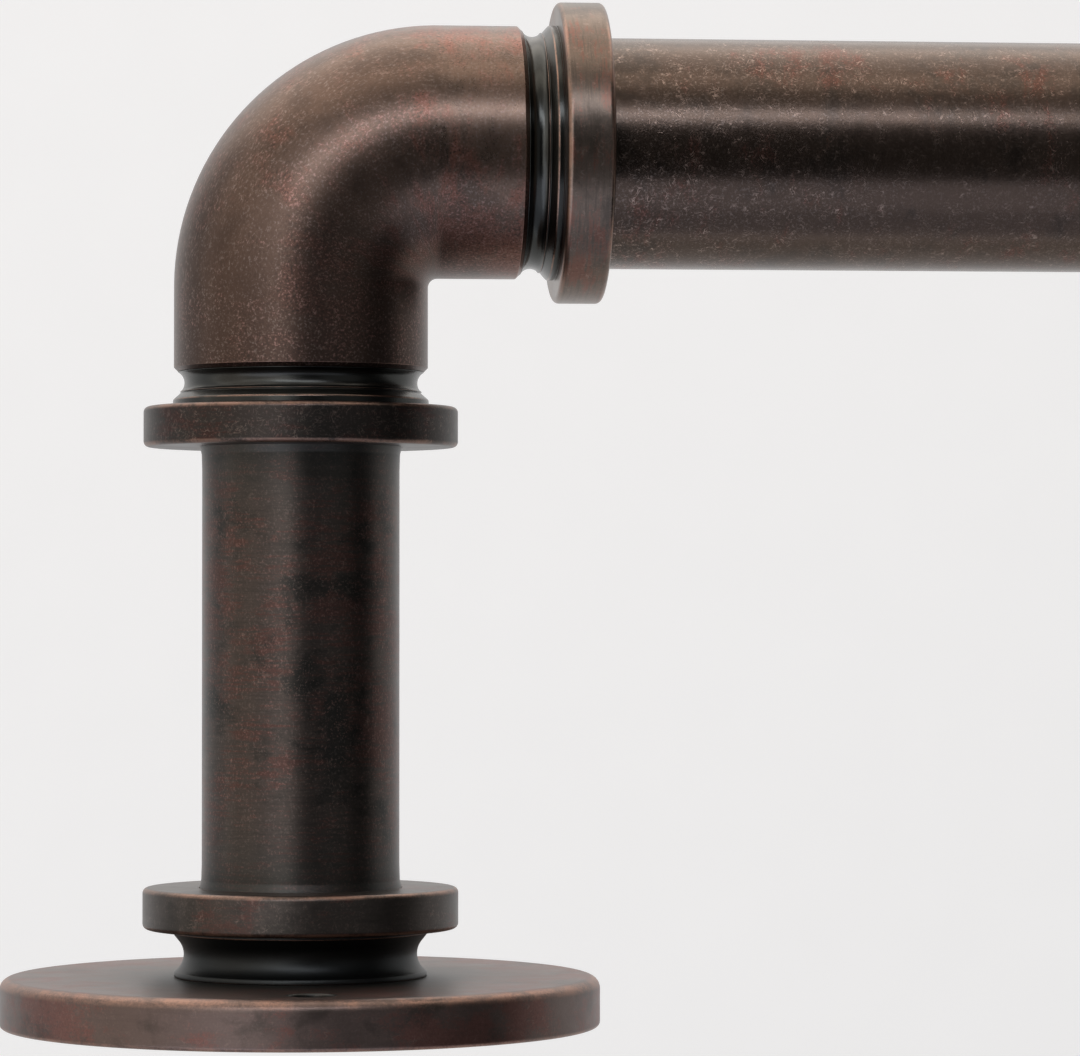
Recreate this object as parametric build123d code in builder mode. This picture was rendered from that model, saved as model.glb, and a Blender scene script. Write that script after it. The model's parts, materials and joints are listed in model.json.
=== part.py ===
from build123d import *

import os

# A telescoping wrap-around curtain rod with two turned, pipe-style wall brackets.
#
# Frame: millimetres, +Z up. The wall is the plane y = 0 and the room is on its -Y side. The origin is
# the centre of the left wall flange's back face, and the rod runs along +X. The rod is pushed right in.
#
# Each bracket, from the wall: a round flange with two wall screw holes, a base coupling held by a
# countersunk screw from behind, a short post tube with a threaded plug in each end, a post coupling,
# and a hollow elbow that a stud joins to the post and a second stud joins to the rod.
# Threads are plain cylinders at their outer diameter.

# ---- Driving dimensions ----

SPAN = 711.0                 # between the post axes with the rod pushed in, 28 in
TRAVEL = 508.0               # how far the rod pulls out, 20 in
PROJECTION = 95.7            # wall to rod axis

FLANGE_R = 32.75
FLANGE_T = 5.4
FLANGE_TOP_ROUND = 1.3
FLANGE_BACK_ROUND = 0.5
WALL_SCREW_R = 2.5
WALL_SCREW_SPACING = 53.0

COLLAR_ROUND = 0.6           # rounding of every collar's rim
BEAD_R = 14.0                # the small step between a collar and its cove
COVE_R = 12.75               # the narrowest place of a cove

BASE_FOOT_R = 13.8
BASE_FOOT_T = 0.5
BASE_COVE_Y = 7.8            # heights above the wall
BASE_COVE_TOP_Y = 9.3
BASE_COLLAR_Y = 10.6
BASE_COLLAR_TOP_Y = 15.1
BASE_COLLAR_R = 17.25
BASE_RECESS = 3.0            # how deep the post tube sits in the base collar

POST_TUBE_R = 10.8
POST_TUBE_WALL = 1.5
POST_FLARE = 0.25            # the tube's ends are swaged out by this much
POST_FLARE_LENGTH = 1.3

ELBOW_R = 13.9
ELBOW_BORE_R = 10.5
ELBOW_BEND_R = 15.0          # of its centre line
ELBOW_CHAMFER = 0.45

# An arm is what stands on one end of the elbow; lengths are measured from the elbow's corner,
# where the post axis and the rod axis cross.
POST_ARM = {"length": 24.25, "collar_r": 17.2, "collar_t": 4.4, "recess": 3.0}
ROD_ARM = {"length": 24.0, "collar_r": 16.55, "collar_t": 5.2, "recess": 4.0}
NECK = 3.85                  # from the elbow's end to the collar
SPIGOT_R = 10.42             # the coupling's spigot turns in the elbow's bore
SPIGOT_LENGTH = 3.0
INSERT_T = 5.7               # threaded insert inside the elbow

OUTER_TUBE_R = 12.7          # 1 in tube
INNER_TUBE_R = 11.1
ROD_WALL = 1.0
GLIDE_LIP_T = 1.0
GLIDE_LENGTH = 80.0
GUIDE_HEAD_T = 6.0
GUIDE_SPIGOT_LENGTH = 12.0
STOP_GAP = 0.3               # between the guide plug and the glide bush with the rod pulled right out

BASE_SCREW_R = 3.0           # M6 countersunk
BASE_SCREW_HEAD_R = 6.0
BASE_SCREW_SUNK = 0.3        # the head lies this far below the flange's back face
BASE_SCREW_END_Y = 24.0
BASE_SCREW_SOCKET = 4.0      # across flats
BASE_SCREW_SOCKET_DEPTH = 2.0
BASE_PLUG_END_Y = 26.0
STUD_R = 4.0                 # M8
STUD_START = 15.6            # from the elbow's corner
STUD_LENGTH = 26.5
PLUG_LENGTH = 14.0
END_CHAMFER = 0.5

FIT = 0.03                   # radial clearance between pieces that are fixed together
RUNNING = 0.05               # radial clearance between pieces that turn or slide
END_GAP = 0.05               # along the axis, between pieces that turn or are held end to end
SCREW_CLEARANCE = 0.3
EDGE_TOLERANCE = 0.01

SIDES = {"left": 1, "right": -1}    # which way each bracket's rod leaves, along X


# ---- Planes and selectors ----

def turning_plane(origin, along):
    """A plane whose X is a turned piece's radius, straight up, and whose Y is its axis."""
    up = Vector(0, 0, 1)
    return Plane(origin=origin, x_dir=up, z_dir=up.cross(Vector(*along)))


def turning_axis(plane):
    return Axis(plane.origin, plane.y_dir)


def rim_edges(piece, radius):
    """The circular edges of this radius."""
    circles = piece.edges().filter_by(GeomType.CIRCLE)
    return circles.filter_by(lambda edge: abs(edge.radius - radius) < EDGE_TOLERANCE)


def save(piece, name):
    piece.part.label = name
    export_step(piece.part, f"parts/{name}.step")


# ---- The bracket's base, drawn as (radius, height above the wall) ----

def make_wall_flange(post_x):
    """Round plate with two wall screw holes and a countersink in its back for the base screw."""
    front = Plane(origin=(post_x, 0, 0), x_dir=(1, 0, 0), z_dir=(0, -1, 0))
    back = Plane(origin=(post_x, 0, 0), x_dir=(1, 0, 0), z_dir=(0, 1, 0))
    half = WALL_SCREW_SPACING / 2
    with BuildPart() as wall_flange:
        with BuildSketch(front):
            Circle(FLANGE_R)
        extrude(amount=FLANGE_T)
        rims = rim_edges(wall_flange, FLANGE_R).sort_by(Axis.Y)
        fillet(rims[0], radius=FLANGE_TOP_ROUND)
        fillet(rims[-1], radius=FLANGE_BACK_ROUND)
        with BuildSketch(front):
            with Locations((0, half), (0, -half)):
                Circle(WALL_SCREW_R)
        extrude(amount=FLANGE_T, mode=Mode.SUBTRACT)
        with Locations(back):
            CounterSinkHole(
                radius=BASE_SCREW_R + SCREW_CLEARANCE,
                counter_sink_radius=BASE_SCREW_HEAD_R + BASE_SCREW_SUNK + RUNNING,
                depth=FLANGE_T,
                counter_sink_angle=90,
            )
    return wall_flange


def make_base_screw(plane):
    """Countersunk socket screw, from behind the flange into the post's base plug."""
    cone_end = BASE_SCREW_SUNK + BASE_SCREW_HEAD_R - BASE_SCREW_R
    with BuildPart() as base_screw:
        with BuildSketch(plane):
            with BuildLine():
                Polyline(
                    (0, BASE_SCREW_SUNK),
                    (BASE_SCREW_HEAD_R, BASE_SCREW_SUNK),
                    (BASE_SCREW_R, cone_end),
                    (BASE_SCREW_R, BASE_SCREW_END_Y - END_CHAMFER),
                    (BASE_SCREW_R - END_CHAMFER, BASE_SCREW_END_Y),
                    (0, BASE_SCREW_END_Y),
                    close=True,
                )
            make_face()
        revolve(axis=turning_axis(plane))
        socket = Plane(
            origin=plane.origin + plane.y_dir * BASE_SCREW_SUNK,
            x_dir=plane.x_dir,
            z_dir=plane.y_dir,
        )
        with BuildSketch(socket):
            RegularPolygon(radius=BASE_SCREW_SOCKET / 2, side_count=6, major_radius=False)
        extrude(amount=BASE_SCREW_SOCKET_DEPTH, mode=Mode.SUBTRACT)
    return base_screw


def make_base_coupling(plane):
    """Foot ring, cove, bead and collar in one turning, with a recess for the post tube."""
    bore = BASE_SCREW_R + SCREW_CLEARANCE
    recess_r = POST_TUBE_R + POST_FLARE + FIT
    recess_y = BASE_COLLAR_TOP_Y - BASE_RECESS
    foot_y = FLANGE_T + BASE_FOOT_T
    shoulder_r = (COVE_R + BEAD_R) / 2 - 0.1
    bead_round = 0.4
    with BuildPart() as base_coupling:
        with BuildSketch(plane):
            with BuildLine():
                Polyline((bore, FLANGE_T), (BASE_FOOT_R, FLANGE_T), (BASE_FOOT_R, foot_y))
                ThreePointArc(
                    (BASE_FOOT_R, foot_y), (COVE_R, BASE_COVE_Y), (shoulder_r, BASE_COVE_TOP_Y)
                )
                Polyline(
                    (shoulder_r, BASE_COVE_TOP_Y),
                    (BEAD_R, BASE_COLLAR_Y - bead_round),
                    (BEAD_R, BASE_COLLAR_Y),
                    (BASE_COLLAR_R, BASE_COLLAR_Y),
                    (BASE_COLLAR_R, BASE_COLLAR_TOP_Y),
                    (recess_r, BASE_COLLAR_TOP_Y),
                    (recess_r, recess_y),
                    (bore, recess_y),
                    (bore, FLANGE_T),
                )
            make_face()
        revolve(axis=turning_axis(plane))
        fillet(rim_edges(base_coupling, BASE_COLLAR_R), radius=COLLAR_ROUND)
    return base_coupling


def make_post_tube(plane):
    """Short tube from the base collar to the post coupling, both ends swaged out a little."""
    bottom = BASE_COLLAR_TOP_Y - BASE_RECESS + END_GAP
    collar_face = PROJECTION - POST_ARM["length"] - NECK - POST_ARM["collar_t"]
    top = collar_face + POST_ARM["recess"] - END_GAP
    inner_r = POST_TUBE_R - POST_TUBE_WALL
    flared_r = POST_TUBE_R + POST_FLARE
    with BuildPart() as post_tube:
        with BuildSketch(plane):
            with BuildLine():
                Polyline(
                    (inner_r, bottom),
                    (flared_r, bottom),
                    (flared_r, BASE_COLLAR_TOP_Y),
                    (POST_TUBE_R, BASE_COLLAR_TOP_Y + POST_FLARE_LENGTH),
                    (POST_TUBE_R, collar_face - POST_FLARE_LENGTH),
                    (flared_r, collar_face),
                    (flared_r, top),
                    (inner_r, top),
                    close=True,
                )
            make_face()
        revolve(axis=turning_axis(plane))
    return post_tube


# ---- Turned pieces that repeat, drawn as (radius, distance along the plane's axis) ----

def make_ring(plane, start, end, outer_r, bore_r):
    """A plain sleeve, plug or tube with small chamfers on its outer rims."""
    with BuildPart() as ring:
        with BuildSketch(plane):
            with BuildLine():
                Polyline(
                    (bore_r, start),
                    (outer_r, start),
                    (outer_r, end),
                    (bore_r, end),
                    close=True,
                )
            make_face()
        revolve(axis=turning_axis(plane))
        chamfer(rim_edges(ring, outer_r), length=min(END_CHAMFER, (outer_r - bore_r) / 5))
    return ring


def make_stud(plane):
    """M8 threaded stud with chamfered ends."""
    end = STUD_START + STUD_LENGTH
    with BuildPart() as stud:
        with BuildSketch(plane):
            with BuildLine():
                Polyline((0, STUD_START), (STUD_R, STUD_START), (STUD_R, end), (0, end), close=True)
            make_face()
        revolve(axis=turning_axis(plane))
        chamfer(rim_edges(stud, STUD_R), length=END_CHAMFER)
    return stud


def make_coupling(plane, arm, recess_r):
    """Spigot, cove, bead and collar in one turning, with a recess for a tube's end."""
    face = arm["length"] + END_GAP
    spigot = arm["length"] - SPIGOT_LENGTH
    collar = arm["length"] + NECK
    collar_end = collar + arm["collar_t"]
    recess = collar_end - arm["recess"]
    bore = STUD_R + FIT
    lip_r = ELBOW_R - ELBOW_CHAMFER
    shoulder_r = (COVE_R + BEAD_R) / 2 - 0.1
    bead_round = 0.5
    with BuildPart() as coupling:
        with BuildSketch(plane):
            with BuildLine():
                Polyline((bore, spigot), (SPIGOT_R, spigot), (SPIGOT_R, face), (lip_r, face))
                ThreePointArc((lip_r, face), (COVE_R, face + 1.15), (shoulder_r, face + 2.25))
                Polyline(
                    (shoulder_r, face + 2.25),
                    (BEAD_R, collar - bead_round),
                    (BEAD_R, collar),
                    (arm["collar_r"], collar),
                    (arm["collar_r"], collar_end),
                    (recess_r, collar_end),
                    (recess_r, recess),
                    (bore, recess),
                    (bore, spigot),
                )
            make_face()
        revolve(axis=turning_axis(plane))
        fillet(rim_edges(coupling, arm["collar_r"]), radius=COLLAR_ROUND)
    return coupling


# ---- The elbow ----

def make_elbow(corner, rod_way):
    """Hollow right-angle bend of one round section, chamfered at both ends."""
    post_end = corner + Vector(0, POST_ARM["length"], 0)
    rod_end = corner + Vector(rod_way * ROD_ARM["length"], 0, 0)
    with BuildPart() as elbow:
        with BuildLine():
            FilletPolyline(post_end, corner, rod_end, radius=ELBOW_BEND_R)
        with BuildSketch(Plane(origin=post_end, x_dir=(1, 0, 0), z_dir=(0, -1, 0))):
            Circle(ELBOW_R)
            Circle(ELBOW_BORE_R, mode=Mode.SUBTRACT)
        sweep()
        faces = elbow.faces().filter_by(GeomType.PLANE)
        chamfer(rim_edges(faces, ELBOW_R), length=ELBOW_CHAMFER)
    return elbow


# ---- The rod's sliding pieces, drawn as (radius, x) ----

def make_glide_bush(plane, mouth):
    """Nylon sleeve in the outer tube's mouth, with a lip that covers the tube's cut end."""
    bore = INNER_TUBE_R + RUNNING
    sleeve_r = OUTER_TUBE_R - ROD_WALL - FIT
    with BuildPart() as glide_bush:
        with BuildSketch(plane):
            with BuildLine():
                Polyline(
                    (bore, mouth - GLIDE_LIP_T),
                    (OUTER_TUBE_R, mouth - GLIDE_LIP_T),
                    (OUTER_TUBE_R, mouth),
                    (sleeve_r, mouth),
                    (sleeve_r, mouth + GLIDE_LENGTH),
                    (bore, mouth + GLIDE_LENGTH),
                    close=True,
                )
            make_face()
        revolve(axis=turning_axis(plane))
    return glide_bush


def make_guide_plug(plane, tube_end):
    """Nylon plug on the inner tube's end; its head runs in the outer tube and stops at the bush."""
    head_r = OUTER_TUBE_R - ROD_WALL - RUNNING
    spigot_r = INNER_TUBE_R - ROD_WALL - FIT
    with BuildPart() as guide_plug:
        with BuildSketch(plane):
            with BuildLine():
                Polyline(
                    (0, tube_end - GUIDE_SPIGOT_LENGTH),
                    (spigot_r, tube_end - GUIDE_SPIGOT_LENGTH),
                    (spigot_r, tube_end),
                    (head_r, tube_end),
                    (head_r, tube_end + GUIDE_HEAD_T),
                    (0, tube_end + GUIDE_HEAD_T),
                    close=True,
                )
            make_face()
        revolve(axis=turning_axis(plane))
    return guide_plug


# ---- Build every piece ----

os.makedirs("parts", exist_ok=True)

rod_seat = ROD_ARM["length"] + NECK + ROD_ARM["collar_t"] - ROD_ARM["recess"]
rod_end = rod_seat + END_GAP
collar_face = ROD_ARM["length"] + NECK + ROD_ARM["collar_t"]
tube_mouth = collar_face + 3 * END_GAP + GLIDE_LIP_T
inner_end = tube_mouth + GLIDE_LENGTH + TRAVEL + STOP_GAP

rod_tube_r = {"left": INNER_TUBE_R, "right": OUTER_TUBE_R}

for side, rod_way in SIDES.items():
    post_x = 0 if side == "left" else SPAN
    corner = Vector(post_x, -PROJECTION, 0)
    wall = turning_plane((post_x, 0, 0), (0, -1, 0))
    post_arm = turning_plane(corner, (0, 1, 0))
    rod_arm = turning_plane(corner, (rod_way, 0, 0))

    save(make_wall_flange(post_x), f"{side}_wall_flange")
    save(make_base_screw(wall), f"{side}_base_screw")
    save(make_base_coupling(wall), f"{side}_base_coupling")
    save(make_post_tube(wall), f"{side}_post_tube")

    post_plug_r = POST_TUBE_R - POST_TUBE_WALL - FIT
    plug_start = BASE_COLLAR_TOP_Y - BASE_RECESS + 2 * END_GAP
    base_plug = make_ring(wall, plug_start, BASE_PLUG_END_Y, post_plug_r, BASE_SCREW_R + FIT)
    save(base_plug, f"{side}_post_base_plug")
    post_seat = POST_ARM["length"] + NECK + POST_ARM["collar_t"] - POST_ARM["recess"]
    plug_start = post_seat + 2 * END_GAP
    top_plug = make_ring(post_arm, plug_start, plug_start + PLUG_LENGTH, post_plug_r, STUD_R + FIT)
    save(top_plug, f"{side}_post_top_plug")

    post_recess_r = POST_TUBE_R + POST_FLARE + FIT
    save(make_coupling(post_arm, POST_ARM, post_recess_r), f"{side}_post_coupling")
    save(make_stud(post_arm), f"{side}_post_stud")

    save(make_elbow(corner, rod_way), f"{side}_elbow")
    for plane, arm, name in ((post_arm, POST_ARM, "post"), (rod_arm, ROD_ARM, "rod")):
        insert_end = arm["length"] - SPIGOT_LENGTH - END_GAP
        insert_r = ELBOW_BORE_R - FIT
        insert = make_ring(plane, insert_end - INSERT_T, insert_end, insert_r, STUD_R + RUNNING)
        save(insert, f"{side}_elbow_{name}_insert")

    save(make_coupling(rod_arm, ROD_ARM, rod_tube_r[side] + FIT), f"{side}_rod_coupling")
    save(make_stud(rod_arm), f"{side}_rod_stud")
    plug_start = rod_end + END_GAP
    rod_plug_r = rod_tube_r[side] - ROD_WALL - FIT
    rod_plug = make_ring(rod_arm, plug_start, plug_start + PLUG_LENGTH, rod_plug_r, STUD_R + FIT)
    save(rod_plug, f"{side}_rod_plug")

rod = turning_plane((0, -PROJECTION, 0), (1, 0, 0))
outer_tube = make_ring(rod, tube_mouth, SPAN - rod_end, OUTER_TUBE_R, OUTER_TUBE_R - ROD_WALL)
save(outer_tube, "outer_tube")
inner_tube = make_ring(rod, rod_end, inner_end, INNER_TUBE_R, INNER_TUBE_R - ROD_WALL)
save(inner_tube, "inner_tube")
save(make_glide_bush(rod, tube_mouth), "glide_bush")
save(make_guide_plug(rod, inner_end), "guide_plug")
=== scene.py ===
import json
import math

import bmesh
import bpy
from mathutils import Matrix, Vector


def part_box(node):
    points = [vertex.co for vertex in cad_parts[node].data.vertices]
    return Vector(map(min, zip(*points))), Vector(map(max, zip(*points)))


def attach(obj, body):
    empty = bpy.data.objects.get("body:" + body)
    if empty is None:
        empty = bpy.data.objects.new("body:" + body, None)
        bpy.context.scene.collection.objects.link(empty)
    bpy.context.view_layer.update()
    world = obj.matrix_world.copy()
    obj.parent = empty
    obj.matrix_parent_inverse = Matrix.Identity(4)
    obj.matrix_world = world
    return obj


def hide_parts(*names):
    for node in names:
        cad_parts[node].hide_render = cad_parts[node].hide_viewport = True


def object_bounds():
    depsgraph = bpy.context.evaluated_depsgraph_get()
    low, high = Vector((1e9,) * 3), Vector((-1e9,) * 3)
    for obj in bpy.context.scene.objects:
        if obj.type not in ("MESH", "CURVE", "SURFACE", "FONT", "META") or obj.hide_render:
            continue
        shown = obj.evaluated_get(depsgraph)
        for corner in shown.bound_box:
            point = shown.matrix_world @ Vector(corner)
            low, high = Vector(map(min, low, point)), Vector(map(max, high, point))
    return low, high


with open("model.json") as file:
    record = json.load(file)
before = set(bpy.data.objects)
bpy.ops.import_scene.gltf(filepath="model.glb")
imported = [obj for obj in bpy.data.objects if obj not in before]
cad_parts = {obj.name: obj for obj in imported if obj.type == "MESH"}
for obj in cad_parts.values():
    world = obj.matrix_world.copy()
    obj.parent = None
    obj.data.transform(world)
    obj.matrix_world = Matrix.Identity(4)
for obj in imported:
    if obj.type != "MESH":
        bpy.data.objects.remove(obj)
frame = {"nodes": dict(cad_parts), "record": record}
cad_low, cad_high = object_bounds()

MM = 0.001
SIDES = {"left": 1, "right": -1}      # which way each bracket's rod leaves, along X

# ---- Sizes of the turned details, in millimetres; places and outer sizes come from the frame ----

AROUND = 192                 # vertices round a turned piece
ARC_STEPS = 8                # steps in a rounded corner
COVE_STEPS = 20              # steps across a cove
BEND_STEPS = 64              # steps round the elbow's bend
SMALLEST_RADIUS = 1e-7       # in metres; a smaller ring is a single vertex

SOFT_EDGE = 0.12             # rounding of an edge that looks crisp
COLLAR_ROUND = 0.6
FLANGE_TOP_ROUND = 1.3
FLANGE_BACK_ROUND = 0.5
HOLE_ROUND = 0.25
WALL_SCREW_R = 2.5
WALL_SCREW_OFFSET = 26.5     # from the flange's centre
SCREW_BORE_R = 3.3
COUNTERSINK_R = 6.35

COVE_R = 12.75
BEAD_R = 14.0
NECK = 3.85                  # from the elbow's end to the collar
NECK_COVE_AT = 1.1           # from a coupling's face to the narrowest place of its cove
NECK_COVE_LENGTH = 1.95
NECK_COVE_END_R = 12.98
NECK_STEP_R = 13.22          # the fine step between that cove and the bead
SPIGOT_R = 10.42
STUD_BORE_R = 4.03
POST_RECESS = 3.0
ROD_RECESS = 4.0

FOOT_R = 13.8
FOOT_T = 0.5
BASE_COVE_AT = 7.8           # height above the wall of the base cove's narrowest place
BASE_BEAD_AT = 9.3
BASE_COLLAR_AT = 10.6

POST_FLARE = 0.25
POST_FLARE_LENGTH = 1.3
POST_WALL = 1.5
ROD_WALL = 1.0
TUBE_END_ROUND = 0.2

ELBOW_BORE_R = 10.5
ELBOW_BEND_R = 15.0
ELBOW_CHAMFER = 0.45
ELBOW_END_CLEAR = 1.2        # the bend's rings keep this far from the chamfered ends
GLIDE_LIP_T = 1.0
GLIDE_BORE_R = 11.15
GLIDE_SLEEVE_R = 11.67

FIT_GAP = 0.03               # between a tube and the recess that it sits in
ELBOW_GAP = 0.05             # between the elbow's end and a coupling's cove

# Extra rings on the flange's face, so that its darkness can fade outwards.
FLANGE_FACE_RINGS = (9, 14, 16, 18, 20, 22)
POST_RING_STEP = 3.0         # the rings along a tube are no further apart than this
ROD_RING_STEP = 6.0

# ---- Wear and painted shade ----

# How much of each piece is rubbed bright, and how far its texture is shifted, in metres, so that no two
# kinds of piece show the same marks.
RUBBED = {"flange": 0.6, "base": 0.5, "post": 0.7, "coupling": 0.6, "elbow": 0.8}
TEXTURE_SHIFT = {"base": 0.03, "post": 0.07, "coupling": 0.11, "elbow": 0.17, "rod": 0.23}
ROD_RUBBED_FAR = 0.45
ROD_RUBBED_MORE = 0.75       # added to it by the bracket

# How far a darker zone of painted shade or a more rubbed zone reaches, in millimetres.
FLANGE_FADE = 17             # outwards from the foot ring
POST_FADE = 9                # from each collar
BEND_FADE = 11               # outwards from the inside of the elbow's bend
ROD_FADE = 35                # along the rod from its bracket


def box_mm(node):
    """A CAD node's lowest and highest corners, in millimetres."""
    low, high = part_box(node)
    return low / MM, high / MM


def radius_mm(node):
    """The outer radius of a CAD node that is turned about a level axis."""
    low, high = box_mm(node)
    return (high.z - low.z) / 2


ELBOW_R = radius_mm("left_elbow")


# ---- Outlines: lists of (radius, distance along the axis, edge) ----
# edge is 1 on a convex rounded edge, -1 in a concave one, and 0 elsewhere.

def rounded(corners, closed=True):
    """The outline through corners (r, s) or (r, s, rounding), each rounded and kept flat beside it."""
    points = []
    count = len(corners)
    for i, corner in enumerate(corners):
        here = Vector(corner[:2])
        radius = corner[2] if len(corner) > 2 else 0
        if radius <= 0 or (not closed and i in (0, count - 1)):
            points.append((here.x, here.y, 0))
            continue
        before = (Vector(corners[i - 1][:2]) - here).normalized()
        after = (Vector(corners[(i + 1) % count][:2]) - here).normalized()
        half_angle = before.angle(after) / 2
        reach = radius / math.tan(half_angle)
        centre = here + (before + after).normalized() * radius / math.sin(half_angle)
        start = here + before * reach - centre
        turn = math.pi - 2 * half_angle
        way = 1 if before.cross(after) < 0 else -1
        support = min(radius / 3, 0.1)
        points.append((*(here + before * (reach + support)), 0))
        for step in range(ARC_STEPS + 1):
            share = step / ARC_STEPS
            angle = way * turn * share
            cos, sin = math.cos(angle), math.sin(angle)
            arm = Vector((start.x * cos - start.y * sin, start.x * sin + start.y * cos))
            points.append((*(centre + arm), way * math.sin(math.pi * share)))
        points.append((*(here + after * (reach + support)), 0))
    return points


def arc(start, through, end, steps):
    """Points of the circle arc through three (r, s) points, its ends left out."""
    a, b, c = (Vector(p) for p in (start, through, end))
    d = 2 * (a.x * (b.y - c.y) + b.x * (c.y - a.y) + c.x * (a.y - b.y))
    sq = [p.length_squared for p in (a, b, c)]
    centre = Vector((
        (sq[0] * (b.y - c.y) + sq[1] * (c.y - a.y) + sq[2] * (a.y - b.y)) / d,
        (sq[0] * (c.x - b.x) + sq[1] * (a.x - c.x) + sq[2] * (b.x - a.x)) / d,
    ))
    first = a - centre
    turn = first.angle_signed(b - centre) + (b - centre).angle_signed(c - centre)
    found = []
    for step in range(1, steps):
        angle = -turn * step / steps
        cos, sin = math.cos(angle), math.sin(angle)
        point = centre + Vector((first.x * cos - first.y * sin, first.x * sin + first.y * cos))
        found.append((point.x, point.y))
    return found


def spaced(outline, step):
    """The closed outline with points added so that no two are further apart than step."""
    dense = []
    for (r, s, edge), (next_r, next_s, _) in zip(outline, outline[1:] + outline[:1]):
        pieces = max(1, math.ceil(math.hypot(next_r - r, next_s - s) / step))
        for i in range(pieces):
            share = i / pieces
            dense.append((r + (next_r - r) * share, s + (next_s - s) * share, edge if i == 0 else 0))
    return dense


def without_edges(outline):
    """The outline with none of its edges worn or dark."""
    return [(r, s, 0) for r, s, edge in outline]


# ---- Meshes made of rings ----

def no_zone(r, s):
    """The dark or rubbed zone of a piece that has none."""
    return 0.0


class Ring:
    """One circle of a piece: its centre, its two radial directions, and what its vertices carry."""

    def __init__(self, centre, out, side, radius, along, edge=0.0, dark=0.0, rubbed=0.0):
        self.centre = centre
        self.out = out
        self.side = side
        self.radius = radius
        self.along = along
        self.edge = edge
        self.dark = dark
        self.rubbed = rubbed


def turned_rings(origin, axis, outline, dark=no_zone, rubbed=no_zone):
    """Rings in metres of an outline turned about an axis; dark and rubbed are functions of (r, s)."""
    out = Vector((0, 0, 1))
    side = axis.cross(out)
    rings = []
    for r, s, edge in outline:
        centre = (origin + axis * s) * MM
        rings.append(Ring(centre, out, side, r * MM, s * MM, edge, dark(r, s), rubbed(r, s)))
    return rings


class Shell:
    """A mesh built ring by ring. Its vertices carry where they lie on the lathe, how worn they are and how
    much painted shade they get.

    shift moves its texture along the lathe axis, in metres.
    """

    def __init__(self, shift=0.0):
        self.mesh = bmesh.new()
        layers = self.mesh.verts.layers
        self.turn = layers.float_vector.new("turn")
        self.edge = layers.float.new("edge")
        self.dark = layers.float.new("dark")
        self.rubbed = layers.float.new("rubbed")
        self.shift = shift

    def ring(self, ring, count=AROUND):
        """A circle of vertices, or one vertex where the radius is nothing."""
        if ring.radius < SMALLEST_RADIUS:
            count = 1
        verts = []
        for i in range(count):
            angle = 2 * math.pi * i / count
            cos, sin = math.cos(angle), math.sin(angle)
            vert = self.mesh.verts.new(ring.centre + (ring.out * cos + ring.side * sin) * ring.radius)
            vert[self.turn] = (ring.along + self.shift, ring.radius * cos, ring.radius * sin)
            vert[self.edge] = ring.edge
            vert[self.dark] = ring.dark
            vert[self.rubbed] = ring.rubbed
            verts.append(vert)
        return verts

    def join(self, first, second):
        """Faces between two rings, or a fan where one of them is a single vertex."""
        if len(first) == 1 or len(second) == 1:
            tip, rim = (first[0], second) if len(first) == 1 else (second[0], first)
            for i in range(len(rim)):
                self.mesh.faces.new((tip, rim[i], rim[(i + 1) % len(rim)]))
            return
        for i in range(len(first)):
            j = (i + 1) % len(first)
            self.mesh.faces.new((first[i], first[j], second[j], second[i]))

    def strip(self, rings, closed=False, count=AROUND):
        """A skin over the rings in order; returns the vertices of each ring."""
        loops = [self.ring(ring, count) for ring in rings]
        for first, second in zip(loops, loops[1:]):
            self.join(first, second)
        if closed:
            self.join(loops[-1], loops[0])
        return loops

    def fill(self, loops):
        """A flat face inside the first loop and outside the others."""
        edges = []
        for loop in loops:
            for i in range(len(loop)):
                pair = (loop[i], loop[(i + 1) % len(loop)])
                edges.append(self.mesh.edges.get(pair) or self.mesh.edges.new(pair))
        bmesh.ops.triangle_fill(self.mesh, use_beauty=True, edges=edges)

    def finish(self, name, body, slot, material, *nodes):
        """The finished piece, riding on its body in place of the CAD nodes."""
        bmesh.ops.recalc_face_normals(self.mesh, faces=self.mesh.faces)
        data = bpy.data.meshes.new(name)
        self.mesh.to_mesh(data)
        self.mesh.free()
        data.shade_smooth()
        data.materials.append(material)
        piece = bpy.data.objects.new(name, data)
        bpy.context.scene.collection.objects.link(piece)
        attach(piece, body)
        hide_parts(*nodes)
        return piece


# ---- Materials ----

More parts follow.
